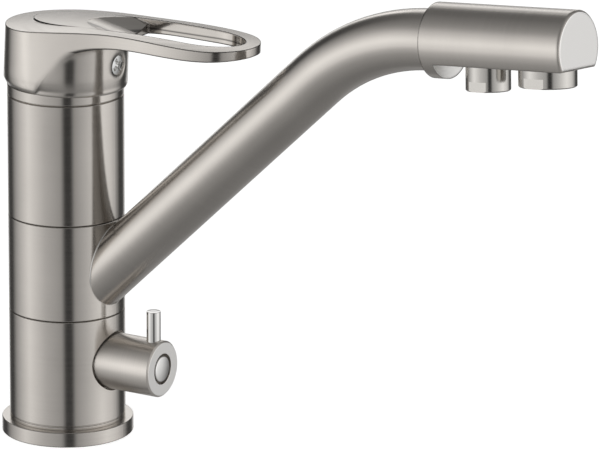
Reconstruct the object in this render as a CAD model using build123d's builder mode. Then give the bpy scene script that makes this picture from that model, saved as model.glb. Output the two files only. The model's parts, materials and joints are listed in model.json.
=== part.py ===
from build123d import *
import os
from math import cos, radians, sin, sqrt, tan

# Column, from the deck upwards
body_d = 50.0
flange_d = 56.8
flange_h = 6.5
lower_h = 48.5
ring_h = 42.2
upper_h = 52.8
seam = 0.3
edge_break = 0.3
foot_line_h = 1.6
foot_line = 0.5

# Fits
fit_gap = 0.05
run_gap = 0.3
slide_gap = 0.1

# Foot seal
foot_gap = 1.0
gasket_w = 4.4
gasket_h = 2.0

# Inner core and its waterways
core_d = 36.0
core_lift = 2.0
cartridge_room = 30.0
inlet_circle_r = 9.0
inlet_angle = 105.0
inlet_r = 4.5
inlet_depth = 12.0
riser_r = 3.2
mixed_x = 8.0
mixed_r = 4.0
filter_way_r = 2.4
filter_way_x = 1.0
way_groove = 2.2
filter_groove_h = 7.0
main_groove_h = 13.0
o_ring_d = 2.1
o_ring_side = 0.25
land = 1.6
glide_t = 1.6
glide_w = 4.0

# Filter valve in the lower body
valve_rise = 28.0
knob_d = 24.5
knob_len = 27.9
knob_bevel = 0.7
recess_gap = 0.75
recess_wall = 2.5
headwork_d = 16.0
headwork_reach = 15.4
headwork_collar = 1.3
headwork_collar_t = 3.5
headwork_neck_d = 12.0
headwork_neck_len = 9.0
valve_disc_d = 12.8
valve_disc_t = 2.5
valve_port_r = 2.6
stem_d = 7.0
stem_collar_t = 1.5
stem_seal_d = 1.2
knob_hub = 8.0
button_d = 12.5
button_ring = 0.45
button_pocket = 4.4
button_crown = 0.8
button_wall = 1.0
knob_screw_d = 4.0
knob_screw_head_d = 7.0
knob_screw_head_h = 2.0
knob_screw_len = 9.0
lever_pin_d = 6.0
lever_pin_top = 24.7
lever_pin_inset = 4.6
lever_pin_seat = 4.0

# Mixing cartridge
pivot_drop = 5.0
cartridge_d = 34.8
cartridge_wall = 2.1
base_t = 4.0
seal_w = 1.5
seal_t = 1.5
fixed_disc_t = 3.0
disc_d = 19.2
moving_disc_t = 3.0
carrier_t = 5.6
mixing_cup = 1.6
mixing_cup_r = 6.0
shoulder_t = 3.0
nut_wall = 3.55
neck_wall = 2.1
rotor_flange_t = 2.5
rotor_flange_gap = 0.6
rotor_top = 6.5
nut_h = 6.2
nut_notch_w = 4.0
nut_notch_h = 2.0
pin_d = 3.0
spindle_bar = 6.0
spindle_square = 8.0
spindle_reach = 12.2
spindle_end_gap = 1.0
spindle_shoulder = 9.0
slot_half = 8.2
pocket_len = 9.4

# Trim collar under the handle
collar_h = 4.7
collar_dome = 2.0
collar_groove = 0.6
collar_groove_depth = 0.9
collar_wall = 1.8
collar_mouth_d = 29.0
collar_seat_w = 4.0

# Handle, in its own tilted frame with the pivot as origin
handle_tilt = 2.5
skirt_h = 10.0
skirt_d = 53.8
skirt_bore_d = 51.0
skirt_bevel_h = 2.4
skirt_lip = 0.2
cap_inset = 1.15
cap_shift = 0.4
hollow_top_r = 17.35
crest_h = 30.5
crest_r = 566.0
crest_apex = (67.4, 0.37)
crown_r = 160.0
crown_back = 12.0
crown_turn = 18.0
back_x = -5.2
back_r = 22.4
waist_x = 33.0
waist_half_w = 18.9
tip_root_x = 45.0
tip_len = 47.8
tip_half_w = 20.6
tip_shape = ((0.44, 0.985), (0.62, 0.94), (0.78, 0.81), (0.9, 0.58))
foot_waist_half_w = 22.6
foot_tip_half_w = 21.2
arch_start_x = 0.6
arch_line = ((6.1, 9.0), (14.7, 18.3), (27.5, 23.2), (54.0, 25.6), (76.0, 26.3))
lever_tip_t = 2.4
tongue_r = 716.0
tongue_drop = 0.53
tongue_root = 6.0
loop_back_x = -16.0
loop_back_mid_x = 6.0
loop_tip_mid_x = 66.0
loop_half_w = 13.0
loop_tip_x = 87.0
dish_start_x = 11.0
dish_end_x = 32.0
dish_end_drop = 4.7
dish_side_r = 30.0
ceiling_h = 29.0
boss_r = 8.5
boss_foot = 18.0
web_w = 12.5
socket_roof = 0.5
screw_drop = 7.2
screw_head_d = 8.8
screw_head_face = 25.7
screw_head_len = 4.0
screw_d = 5.0
screw_rim = 0.2
web_foot = 16.2

# Spout
pipe_drop = 0.9
spout_turn = -2.7
pipe_angle = 43.15
pipe_d = 25.5
pipe_wall = 1.6
corner_reach = 152.3
bend_r = 92.7
head_angle = 5.04
spout_reach = 254.1
head_turn = 5.7
head_d = 31.3
head_len = 67.0
head_collar = 5.8
head_flat = 8.6
head_round = 0.8
head_socket = 5.0
head_seal_d = 1.6
main_way_r = 4.5
main_way_up = 4.5
tube_d = 5.0
tube_wall = 0.8
tube_down = 5.0
tube_plug = 4.0
port_up = 5.0
port_r = 4.5
tube_seal_d = 0.8

# Aerators: distance from the head's end, housing, drop below the flat, thread, bore
main_inset = 14.7
main_aerator_d = 24.0
main_aerator_drop = 7.5
main_thread_d = 21.0
main_thread_len = 5.0
filter_inset = 43.0
filter_aerator_d = 18.6
filter_aerator_drop = 10.7
filter_thread_d = 16.0
filter_thread_len = 4.0
aerator_wall = 1.4
aerator_lip = 0.8
aerator_lip_h = 0.6
aerator_insert_t = 3.5
aerator_washer_t = 1.0
aerator_flat = 0.9
aerator_flat_h = 4.2
aerator_edge = 0.5
jet_r = 0.9
jet_circle_r = 4.0
jet_count = 8

# Fixing under the deck
deck_t = 40.0
stud_d = 8.0
stud_x = -13.0
stud_seat = 14.0
stud_len = 74.0
clamp_d = 48.0
hose_slot_w = 27.0
hose_slot_x = -7.2
washer_t = 3.0
plate_t = 2.5
nut_flats = 13.0
fixing_nut_h = 6.5
stud_gap = 0.3

# Heights and radii that follow
body_r = body_d / 2
ring_z0 = flange_h + lower_h
ring_z1 = ring_z0 + ring_h
upper_z1 = ring_z1 + upper_h
core_r = core_d / 2
core_z1 = upper_z1 - cartridge_room
shell_bore_r = core_r + fit_gap
ring_bore_r = core_r + run_gap
valve_z = flange_h + valve_rise
knob_r = knob_d / 2
recess_x = core_r + recess_wall
knob_x0 = recess_x + run_gap
knob_x1 = knob_x0 + knob_len
headwork_x0 = recess_x - headwork_reach
stem_r = stem_d / 2
pivot_z = upper_z1 - pivot_drop
pipe_r = pipe_d / 2
pipe_z0 = ring_z0 - pipe_drop
tube_r = tube_d / 2
head_r = head_d / 2

os.makedirs("parts", exist_ok=True)


def write(piece, name):
    piece.part.label = name
    export_step(piece.part, f"parts/{name}.step")


def ring_piece(name, plane, outer_r, inner_r, height):
    with BuildPart() as piece:
        with BuildSketch(plane):
            Circle(outer_r)
            Circle(inner_r, mode=Mode.SUBTRACT)
        extrude(amount=height)
    write(piece, name)


def o_ring_piece(name, planes, middle_r, section_d):
    with BuildPart() as piece:
        for plane in planes:
            with BuildSketch(Plane(plane.origin, x_dir=plane.x_dir, z_dir=-plane.y_dir)):
                with Locations((middle_r, 0)):
                    Circle(section_d / 2)
            revolve(axis=Axis(plane.origin, plane.z_dir))
    write(piece, name)


# Foot: a flat ring with a sealed groove underneath
flange_bore_r = core_r + foot_gap
gasket_middle_r = (flange_bore_r + flange_d / 2) / 2
gasket_r0 = gasket_middle_r - gasket_w / 2
gasket_r1 = gasket_middle_r + gasket_w / 2
with BuildPart() as base_flange:
    with BuildSketch():
        Circle(flange_d / 2)
        Circle(flange_bore_r, mode=Mode.SUBTRACT)
    extrude(amount=flange_h)
    with BuildSketch():
        Circle(gasket_r1)
        Circle(gasket_r0, mode=Mode.SUBTRACT)
    extrude(amount=gasket_h, mode=Mode.SUBTRACT)
    rim = base_flange.edges().filter_by(GeomType.CIRCLE).filter_by(lambda e: abs(e.radius - flange_d / 2) < fit_gap)
    chamfer(rim, edge_break)
write(base_flange, "base_flange")

ring_piece("base_gasket", Plane.XY, gasket_r1 - fit_gap, gasket_r0 + fit_gap, gasket_h)

# Lower body: column shell with the round seat of the filter valve
glide_r0 = ring_bore_r + slide_gap
glide_r1 = glide_r0 + glide_w
glide_sink = glide_t - seam + slide_gap
valve_plane = Plane((0, 0, valve_z), x_dir=(0, 1, 0), z_dir=(1, 0, 0))
lower_top = ring_z0 - seam / 2
with BuildPart() as lower_body:
    with BuildSketch(Plane.XY.offset(flange_h)):
        Circle(body_r)
    extrude(amount=lower_top - flange_h)
    chamfer(lower_body.faces().sort_by(Axis.Z)[-1].edges(), edge_break)
    with BuildSketch(Plane.XZ):
        with Locations((body_r, flange_h + foot_line_h)):
            Rectangle(2 * foot_line, foot_line)
    revolve(axis=Axis.Z, mode=Mode.SUBTRACT)
    with BuildSketch(Plane.XY.offset(flange_h)):
        Circle(shell_bore_r)
    extrude(amount=lower_h, mode=Mode.SUBTRACT)
    with BuildSketch(Plane.XY.offset(lower_top)):
        Circle(glide_r1 + fit_gap)
    extrude(amount=-glide_sink, mode=Mode.SUBTRACT)
    with BuildSketch(valve_plane.offset(recess_x)):
        Circle(knob_r + recess_gap)
    extrude(amount=body_r, mode=Mode.SUBTRACT)
    with BuildSketch(valve_plane):
        Circle(headwork_d / 2 + fit_gap)
    extrude(amount=body_r, mode=Mode.SUBTRACT)
write(lower_body, "lower_body")

# Inner core: drilled brass column that the swivel ring turns on
seal_floor_r = ring_bore_r - slide_gap - o_ring_d
seal_groove_h = o_ring_d + 2 * o_ring_side
o_ring_z0 = ring_z0 + land + seal_groove_h / 2
filter_groove_z0 = o_ring_z0 + seal_groove_h / 2 + land
o_ring_z1 = filter_groove_z0 + filter_groove_h + land / 2 + seal_groove_h / 2
main_groove_z0 = o_ring_z1 + seal_groove_h / 2 + land / 2
o_ring_z2 = main_groove_z0 + main_groove_h + land + seal_groove_h / 2
o_ring_heights = (o_ring_z0, o_ring_z1, o_ring_z2)
filter_port_z = filter_groove_z0 + filter_groove_h / 2
main_port_z = main_groove_z0 + main_groove_h / 2
cold_xy = (inlet_circle_r * cos(radians(inlet_angle)), inlet_circle_r * sin(radians(inlet_angle)))
hot_xy = (cold_xy[0], -cold_xy[1])
filter_xy = (inlet_circle_r, 0)
with BuildPart() as inner_core:
    with BuildSketch(Plane.XY.offset(core_lift)):
        Circle(core_r)
    extrude(amount=core_z1 - core_lift)
    with BuildSketch(Plane.XZ):
        for height in o_ring_heights:
            with Locations((core_r, height)):
                Rectangle(2 * (core_r - seal_floor_r), seal_groove_h)
        with Locations((core_r, filter_port_z)):
            Rectangle(2 * way_groove, filter_groove_h)
        with Locations((core_r, main_port_z)):
            Rectangle(2 * way_groove, main_groove_h)
    revolve(axis=Axis.Z, mode=Mode.SUBTRACT)
    with BuildSketch(Plane.XY.offset(core_lift)):
        with Locations(cold_xy, hot_xy, filter_xy):
            Circle(inlet_r)
    extrude(amount=inlet_depth, mode=Mode.SUBTRACT)
    with BuildSketch(Plane.XY.offset(core_lift)):
        with Locations((stud_x, 0)):
            Circle(stud_d / 2 + fit_gap)
    extrude(amount=stud_seat, mode=Mode.SUBTRACT)
    with BuildSketch(Plane.XY.offset(core_lift)):
        with Locations(cold_xy, hot_xy):
            Circle(riser_r)
    extrude(amount=core_z1, mode=Mode.SUBTRACT)
    with BuildSketch(Plane.XY.offset(core_lift)):
        with Locations(filter_xy):
            Circle(riser_r)
    extrude(amount=valve_z - core_lift, mode=Mode.SUBTRACT)
    with BuildSketch(valve_plane.offset(headwork_x0)):
        Circle(headwork_d / 2 + fit_gap)
    extrude(amount=core_d, mode=Mode.SUBTRACT)
    with BuildSketch(valve_plane.offset(filter_way_x)):
        Circle(filter_way_r)
    extrude(amount=headwork_x0, mode=Mode.SUBTRACT)
    with BuildSketch(Plane.XY.offset(valve_z)):
        with Locations((filter_way_x, 0)):
            Circle(filter_way_r)
    extrude(amount=filter_port_z - valve_z, mode=Mode.SUBTRACT)
    with BuildSketch(Plane.YZ.offset(filter_way_x - filter_way_r)):
        with Locations((0, filter_port_z)):
            Circle(filter_way_r)
    extrude(amount=core_d, mode=Mode.SUBTRACT)
    with BuildSketch(Plane.XY.offset(core_z1)):
        with Locations((mixed_x, 0)):
            Circle(mixed_r)
    extrude(amount=main_port_z - core_z1, mode=Mode.SUBTRACT)
    with BuildSketch(Plane.YZ.offset(mixed_x)):
        with Locations((0, main_port_z)):
            Circle(mixed_r)
    extrude(amount=core_d, mode=Mode.SUBTRACT)
write(inner_core, "inner_core")

o_ring_planes = [Plane.XY.offset(height) for height in o_ring_heights]
o_ring_piece("core_o_rings", o_ring_planes, seal_floor_r + o_ring_d / 2, o_ring_d)

ring_piece("lower_glide_ring", Plane.XY.offset(lower_top - glide_sink), glide_r1, glide_r0, glide_t)

# Upper body: shell around the top of the core and the cartridge
upper_z0 = ring_z1 + seam / 2
with BuildPart() as upper_body:
    with BuildSketch(Plane.XY.offset(upper_z0)):
        Circle(body_r)
        Circle(shell_bore_r, mode=Mode.SUBTRACT)
    extrude(amount=upper_z1 - upper_z0)
    with BuildSketch(Plane.XY.offset(upper_z0)):
        Circle(glide_r1 + fit_gap)
    extrude(amount=glide_sink, mode=Mode.SUBTRACT)
    rim = upper_body.edges().filter_by(GeomType.CIRCLE).filter_by(lambda e: abs(e.radius - body_r) < fit_gap)
    chamfer(rim, edge_break)
write(upper_body, "upper_body")

ring_piece("upper_glide_ring", Plane.XY.offset(upper_z0 + glide_sink), glide_r1, glide_r0, -glide_t)

# Cartridge base with the three seals under it
way_places = (cold_xy, hot_xy, (mixed_x, 0))
seal_r = mixed_r + seal_w
with BuildPart() as cartridge_base:
    with BuildSketch(Plane.XY.offset(core_z1)):
        Circle(cartridge_d / 2)
    extrude(amount=base_t)
    with BuildSketch(Plane.XY.offset(core_z1)):
        with Locations(*way_places):
            Circle(mixed_r)
    extrude(amount=base_t, mode=Mode.SUBTRACT)
    with BuildSketch(Plane.XY.offset(core_z1)):
        with Locations(*way_places):
            Circle(seal_r + fit_gap)
    extrude(amount=seal_t, mode=Mode.SUBTRACT)
write(cartridge_base, "cartridge_base")

with BuildPart() as cartridge_seals:
    with BuildSketch(Plane.XY.offset(core_z1)):
        with Locations(*way_places):
            Circle(seal_r)
        with Locations(*way_places):
            Circle(mixed_r, mode=Mode.SUBTRACT)
    extrude(amount=seal_t)
write(cartridge_seals, "cartridge_seals")

# Ceramic discs: the fixed one with the ports, the moving one with the mixing hollow
fixed_disc_z = core_z1 + base_t
moving_disc_z = fixed_disc_z + fixed_disc_t + fit_gap
carrier_z = moving_disc_z + moving_disc_t
housing_bore_r = cartridge_d / 2 - cartridge_wall
with BuildPart() as fixed_disc:
    with BuildSketch(Plane.XY.offset(fixed_disc_z)):
        Circle(housing_bore_r - fit_gap)
        with Locations(*way_places):
            Circle(riser_r, mode=Mode.SUBTRACT)
    extrude(amount=fixed_disc_t)
write(fixed_disc, "fixed_disc")

with BuildPart() as moving_disc:
    with BuildSketch(Plane.XY.offset(moving_disc_z)):
        Circle(disc_d / 2)
    extrude(amount=moving_disc_t)
    with BuildSketch(Plane.XY.offset(moving_disc_z)):
        SlotOverall(disc_d - mixing_cup_r, 2 * mixing_cup_r - mixing_cup)
    extrude(amount=mixing_cup, mode=Mode.SUBTRACT)
write(moving_disc, "moving_disc")

# Disc carrier with the pocket that the spindle's end works in
carrier_top = carrier_z + carrier_t
pivot_to_carrier = pivot_z - carrier_top
pocket_mid_x = -(spindle_reach + pivot_to_carrier) / 2 * tan(radians(handle_tilt))
spindle_swing_r = sqrt(spindle_reach**2 + (spindle_bar / 2) ** 2)
pocket_depth = spindle_swing_r - pivot_to_carrier + run_gap
with BuildPart() as disc_carrier:
    with BuildSketch(Plane.XY.offset(carrier_z)):
        Circle(disc_d / 2)
    extrude(amount=carrier_t)
    with BuildSketch(Plane.XY.offset(carrier_top)):
        with Locations((pocket_mid_x, 0)):
            Rectangle(pocket_len, spindle_bar + 2 * run_gap)
    extrude(amount=-pocket_depth, mode=Mode.SUBTRACT)
write(disc_carrier, "disc_carrier")

# Cartridge housing: stepped plastic shell
neck_r = core_r - nut_wall - fit_gap
rotor_r = neck_r - neck_wall - run_gap
rotor_flange_r = housing_bore_r - rotor_flange_gap
rotor_z0 = carrier_top + run_gap
shoulder_z0 = rotor_z0 + rotor_flange_t + run_gap
shoulder_z1 = shoulder_z0 + shoulder_t
neck_top = upper_z1 - run_gap
with BuildPart() as cartridge_housing:
    with BuildSketch(Plane.XZ):
        with BuildLine():
            Polyline(
                (housing_bore_r, fixed_disc_z),
                (cartridge_d / 2, fixed_disc_z),
                (cartridge_d / 2, shoulder_z1),
                (neck_r, shoulder_z1),
                (neck_r, neck_top),
                (rotor_r + run_gap, neck_top),
                (rotor_r + run_gap, shoulder_z0),
                (housing_bore_r, shoulder_z0),
                close=True,
            )
        make_face()
    revolve(axis=Axis.Z)
write(cartridge_housing, "cartridge_housing")

# Ring nut that clamps the cartridge, with notches for a spanner
with BuildPart() as cartridge_nut:
    with BuildSketch(Plane.XY.offset(shoulder_z1)):
        Circle(core_r)
        Circle(neck_r + fit_gap, mode=Mode.SUBTRACT)
    extrude(amount=nut_h)
    with BuildSketch(Plane.XY.offset(shoulder_z1 + nut_h)):
        Rectangle(nut_notch_w, core_d + fit_gap)
        Rectangle(core_d + fit_gap, nut_notch_w)
    extrude(amount=-nut_notch_h, mode=Mode.SUBTRACT)
write(cartridge_nut, "cartridge_nut")

# Rotor: turns in the housing and carries the pivot pin across its slot
rotor_z1 = pivot_z + rotor_top
cross_plane = Plane((0, 0, pivot_z), x_dir=(1, 0, 0), z_dir=(0, -1, 0))
with BuildPart() as cartridge_rotor:
    with BuildSketch(Plane.XY.offset(rotor_z0)):
        Circle(rotor_flange_r)
    extrude(amount=rotor_flange_t)
    with BuildSketch(Plane.XY.offset(rotor_z0)):
        Circle(rotor_r)
    extrude(amount=rotor_z1 - rotor_z0)
    with BuildSketch(Plane.XY.offset(rotor_z0)):
        Rectangle(2 * slot_half, spindle_bar + 2 * run_gap)
    extrude(amount=rotor_z1 - rotor_z0, mode=Mode.SUBTRACT)
    with BuildSketch(cross_plane):
        Circle(pin_d / 2 + fit_gap)
    extrude(amount=rotor_r, both=True, mode=Mode.SUBTRACT)
write(cartridge_rotor, "cartridge_rotor")

with BuildPart() as pivot_pin:
    with BuildSketch(cross_plane):
        Circle(pin_d / 2)
    extrude(amount=rotor_r - edge_break - run_gap, both=True)
write(pivot_pin, "pivot_pin")

# Trim collar: domed cover on top of the upper body
collar_z1 = upper_z1 + collar_h
collar_top = collar_z1 + collar_dome
with BuildPart() as cover_collar:
    with BuildSketch(Plane.XZ):
        with BuildLine():
            Polyline(
                (body_r - collar_seat_w, upper_z1),
                (body_r - collar_groove_depth, upper_z1),
                (body_r - collar_groove_depth, upper_z1 + collar_groove),
                (body_r, upper_z1 + collar_groove),
                (body_r, collar_z1),
                (body_r - collar_dome, collar_top),
                (collar_mouth_d / 2, collar_top),
                (collar_mouth_d / 2, collar_top - collar_wall),
                (body_r - collar_seat_w, collar_top - collar_wall),
                close=True,
            )
        make_face()
    revolve(axis=Axis.Z)
write(cover_collar, "cover_collar")

# Handle frame: the pivot, tilted forward at rest
tilt = radians(handle_tilt)
pivot = Vector(0, 0, pivot_z)
handle_x = Vector(cos(tilt), 0, -sin(tilt))
handle_up = Vector(sin(tilt), 0, cos(tilt))
handle_plane = Plane(pivot, x_dir=handle_x, z_dir=handle_up)
side_plane = Plane(pivot, x_dir=handle_x, z_dir=(0, -1, 0))
handle_axis = Axis(pivot, handle_up)
skirt_r = skirt_d / 2
skirt_bore_r = skirt_bore_d / 2
crest_z = skirt_h + crest_h
screw_h = ceiling_h - screw_drop
lever_tip = tip_root_x + tip_len
handle_span = lever_tip + skirt_d
space_top = crest_z + crest_h
crown_rise = crown_r - sqrt(crown_r**2 - tip_half_w**2)
apex_z = crest_z + crest_apex[1] + crown_rise
crown_top = apex_z + crown_rise


def crown_space(radius, apex_height):
    crown_drop = crown_r - sqrt(crown_r**2 - skirt_d**2 / 2)
    crown_side = skirt_d / sqrt(2)
    start = radians(crown_back)
    middle = pivot + handle_x * crest_apex[0] + handle_up * (apex_height - radius)
    outward = handle_up * cos(start) - handle_x * sin(start)
    with BuildPart() as space:
        with BuildSketch(Plane(middle, x_dir=(0, 1, 0), z_dir=Vector(0, 1, 0).cross(outward))):
            with BuildLine():
                left = (-crown_side, radius - crown_drop)
                right = (crown_side, radius - crown_drop)
                ThreePointArc(left, (0, radius), right)
                Polyline(right, (crown_side, radius + crest_h), (-crown_side, radius + crest_h), left)
            make_face()
        revolve(axis=Axis(middle, (0, 1, 0)), revolution_arc=crown_turn)
    return space.part


def teardrop(back_middle, back_radius, waist, half_w):
    side = [(back_middle, back_radius), waist]
    side += [(tip_root_x + tip_len * along, half_w * across) for along, across in tip_shape]
    with BuildSketch() as outline:
        with BuildLine():
            Spline(*side, (lever_tip, 0), tangents=((1, 0), (0, -1)))
            mirror(about=Plane.XZ)
            ThreePointArc(side[0], (back_middle - back_radius, 0), (back_middle, -back_radius))
        make_face()
    return outline.sketch


foot_outline = teardrop(0, skirt_r, (waist_x, foot_waist_half_w), foot_tip_half_w)
crown_outline = teardrop(back_x, back_r, (waist_x, waist_half_w), tip_half_w)

# Space above the tongue, in the dish and through the finger loop
dish_start_z = apex_z - crest_r + sqrt(crest_r**2 - (crest_apex[0] - dish_start_x) ** 2)
dish_axis_z = dish_start_z + dish_side_r
dish_end_z = crest_z - dish_end_drop
with BuildSketch() as loop_outline:
    with Locations((loop_back_mid_x, 0)):
        Ellipse(loop_back_mid_x - loop_back_x, loop_half_w)
        Rectangle(loop_tip_mid_x - loop_back_mid_x, 2 * loop_half_w, align=(Align.MIN, Align.CENTER))
    with Locations((loop_tip_mid_x, 0)):
        Ellipse(loop_tip_x - loop_tip_mid_x, loop_half_w)
with BuildPart() as loop_space:
    add(crown_space(tongue_r, apex_z - tongue_drop))
    with BuildSketch(side_plane):
        with BuildLine():
            Polyline((dish_start_x, dish_start_z), (dish_end_x, dish_end_z), (dish_end_x, dish_axis_z),
                     (dish_start_x, dish_axis_z), close=True)
        make_face()
    revolve(axis=Axis(pivot + handle_up * dish_axis_z, handle_x))
    with BuildSketch(side_plane):
        with Locations((dish_end_x, skirt_h)):
            Rectangle(handle_span, space_top - skirt_h, align=(Align.MIN, Align.MIN))
    extrude(amount=skirt_d, both=True)
    with BuildSketch(handle_plane.offset(skirt_h)):
        add(loop_outline.sketch)
    extrude(amount=space_top - skirt_h, mode=Mode.INTERSECT)

arch_points = [(x, skirt_h + height) for x, height in arch_line]
arch_start = (arch_start_x, skirt_h)
tip_under = (lever_tip + lever_tip_t, crest_z - lever_tip_t)
with BuildPart() as cap_front:
    # Round front of the cap, up to the arch
    with BuildSketch(handle_plane.offset(skirt_h)):
        with Locations((cap_shift, 0)):
            Circle(skirt_r - cap_inset)
    extrude(amount=crest_h)
    with BuildSketch(side_plane):
        with BuildLine():
            Spline(arch_start, *arch_points, tip_under)
            Polyline(tip_under, (tip_under[0], skirt_h), arch_start)
        make_face()
    extrude(amount=handle_span, both=True, mode=Mode.INTERSECT)

with BuildPart() as handle_lever:
    # Cap and lever walls: round at the foot, teardrop at the crown
    with BuildSketch(handle_plane.offset(skirt_h)):
        add(foot_outline)
    with BuildSketch(handle_plane.offset(crest_z)):
        add(crown_outline)
    loft(ruled=True)
    with BuildSketch(handle_plane.offset(crest_z)):
        add(crown_outline)
    extrude(amount=crown_top - crest_z)
    # Side view: open above, arch and lever underside below
    with BuildSketch(side_plane):
        with BuildLine():
            Spline(arch_start, *arch_points, tip_under)
            Polyline(tip_under, (tip_under[0], space_top), (-skirt_d, space_top), (-skirt_d, skirt_h), arch_start)
        make_face()
    extrude(amount=handle_span, both=True, mode=Mode.INTERSECT)
    # Crown, arched along the lever and slightly across it
    add(crown_space(crest_r, apex_z), mode=Mode.SUBTRACT)
    add(cap_front.part)
    # Bevel at the foot of the skirt
    bevel_r0 = skirt_bore_r + skirt_lip
    bevel_run = skirt_r - bevel_r0
    with BuildSketch(side_plane):
        with BuildLine():
            Polyline((bevel_r0, skirt_h), (bevel_r0 + 2 * bevel_run, skirt_h),
                     (bevel_r0 + 2 * bevel_run, skirt_h + 2 * skirt_bevel_h), close=True)
        make_face()
    revolve(axis=handle_axis, mode=Mode.SUBTRACT)
    # Hollow of the skirt, with the spindle boss and the screw's web left standing
    with BuildSketch(side_plane):
        with BuildLine():
            Polyline((0, skirt_h), (skirt_bore_r, skirt_h), (skirt_bore_r, skirt_h + skirt_bevel_h),
                     (hollow_top_r, ceiling_h), (0, ceiling_h), close=True)
        make_face()
    revolve(axis=handle_axis, mode=Mode.SUBTRACT)
    with BuildSketch(handle_plane.offset(boss_foot)):
        Circle(boss_r)
    extrude(amount=ceiling_h - boss_foot)
    with BuildSketch(side_plane):
        with Locations((0, web_foot)):
            Rectangle(skirt_bore_r - cap_inset, ceiling_h - web_foot, align=(Align.MIN, Align.MIN))
    extrude(amount=web_w / 2, both=True)
    with BuildSketch(handle_plane.offset(skirt_h)):
        Rectangle(spindle_square + 2 * fit_gap, spindle_square + 2 * fit_gap)
    extrude(amount=ceiling_h - socket_roof - skirt_h, mode=Mode.SUBTRACT)
    # Raised tongue on the crown, dish and finger loop
    with BuildSketch(handle_plane.offset(crest_z - tongue_root)):
        add(loop_outline.sketch)
    extrude(amount=crown_top - crest_z + tongue_root)
    add(loop_space.part, mode=Mode.SUBTRACT)
    # Screw hole at the front of the cap
    with BuildSketch(Plane(pivot + handle_up * screw_h, x_dir=(0, 1, 0), z_dir=handle_x)):
        Circle(screw_d / 2 + fit_gap)
    extrude(amount=skirt_d, mode=Mode.SUBTRACT)
    seat_x = screw_head_face - screw_head_len
    with BuildSketch(Plane(pivot + handle_up * screw_h + handle_x * seat_x, x_dir=(0, 1, 0), z_dir=handle_x)):
        Circle(screw_head_d / 2 + screw_rim)
    extrude(amount=skirt_d, mode=Mode.SUBTRACT)
write(handle_lever, "handle_lever")

# Screw that clamps the handle on the spindle
with BuildPart() as handle_screw:
    with BuildSketch(side_plane):
        with BuildLine():
            Polyline(
                (spindle_square / 2 + fit_gap, screw_h),
                (spindle_square / 2 + fit_gap, screw_h + screw_d / 2),
                (seat_x, screw_h + screw_d / 2),
                (seat_x, screw_h + screw_head_d / 2),
                (screw_head_face - edge_break, screw_h + screw_head_d / 2),
                (screw_head_face, screw_h + screw_head_d / 2 - edge_break),
                (screw_head_face, screw_h),
                close=True,
            )
        make_face()
    revolve(axis=Axis(pivot + handle_up * screw_h, handle_x))
write(handle_screw, "handle_screw")

# Cartridge spindle: square above for the handle, bar below that pushes the disc carrier
with BuildPart() as cartridge_spindle:
    with BuildSketch(handle_plane.offset(-spindle_reach)):
        Rectangle(spindle_bar, spindle_bar)
    extrude(amount=spindle_reach + spindle_shoulder)
    with BuildSketch(handle_plane.offset(spindle_shoulder)):
        Rectangle(spindle_square, spindle_square)
    extrude(amount=ceiling_h - spindle_end_gap - spindle_shoulder)
    with BuildSketch(side_plane):
        Circle(pin_d / 2 + fit_gap)
    extrude(amount=spindle_bar, both=True, mode=Mode.SUBTRACT)
write(cartridge_spindle, "cartridge_spindle")

# Filter valve, turned about an axis along X
valve_side = Plane((0, 0, valve_z), x_dir=(1, 0, 0), z_dir=(0, -1, 0))
valve_axis = Axis((0, 0, valve_z), (1, 0, 0))
headwork_r = headwork_d / 2
headwork_start = headwork_x0 + fit_gap
valve_disc_r = valve_disc_d / 2
fixed_x = headwork_start + fit_gap
moving_x = fixed_x + valve_disc_t + fit_gap
stem_x0 = moving_x + valve_disc_t
disc_room_x1 = stem_x0 + stem_collar_t + run_gap
collar_x0 = recess_x + fit_gap
collar_x1 = collar_x0 + headwork_collar_t
neck_x1 = collar_x1 + headwork_neck_len
seal_groove_w = o_ring_d
seal_mid_x = (disc_room_x1 + recess_x) / 2
head_seal_r = headwork_r + fit_gap - o_ring_d / 2
stem_seal_x = seal_mid_x + seal_groove_w
with BuildPart() as valve_headwork:
    with BuildSketch(valve_side):
        with BuildLine():
            Polyline(
                (headwork_start, valve_disc_r + run_gap),
                (headwork_start, headwork_r),
                (collar_x0, headwork_r),
                (collar_x0, headwork_r + headwork_collar),
                (collar_x1, headwork_r + headwork_collar),
                (collar_x1, headwork_neck_d / 2),
                (neck_x1, headwork_neck_d / 2),
                (neck_x1, stem_r + fit_gap),
                (disc_room_x1, stem_r + fit_gap),
                (disc_room_x1, valve_disc_r + run_gap),
                close=True,
            )
        make_face()
    revolve(axis=valve_axis)
    with BuildSketch(valve_side):
        with Locations((seal_mid_x, headwork_r)):
            Rectangle(o_ring_d + 2 * o_ring_side, 2 * (o_ring_d - fit_gap))
    revolve(axis=valve_axis, mode=Mode.SUBTRACT)
    with BuildSketch(Plane.XY.offset(valve_z)):
        with Locations(filter_xy):
            Circle(filter_way_r)
    extrude(amount=-core_d, mode=Mode.SUBTRACT)
write(valve_headwork, "valve_headwork")

seal_plane = valve_plane.offset(seal_mid_x)
o_ring_piece("valve_headwork_seal", [seal_plane], head_seal_r, o_ring_d)

port_mid = (valve_disc_r - valve_port_r + fit_gap) / 2 + valve_port_r / 4
with BuildPart() as valve_fixed_disc:
    with BuildSketch(valve_plane.offset(fixed_x)):
        Circle(valve_disc_r)
        with Locations((port_mid, 0), (-port_mid, 0)):
            Circle(filter_way_r, mode=Mode.SUBTRACT)
    extrude(amount=valve_disc_t)
write(valve_fixed_disc, "valve_fixed_disc")

with BuildPart() as valve_moving_disc:
    with BuildSketch(valve_plane.offset(moving_x)):
        Circle(valve_disc_r)
        with Locations((0, port_mid), (0, -port_mid)):
            Circle(filter_way_r, mode=Mode.SUBTRACT)
    extrude(amount=valve_disc_t)
write(valve_moving_disc, "valve_moving_disc")

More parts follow.
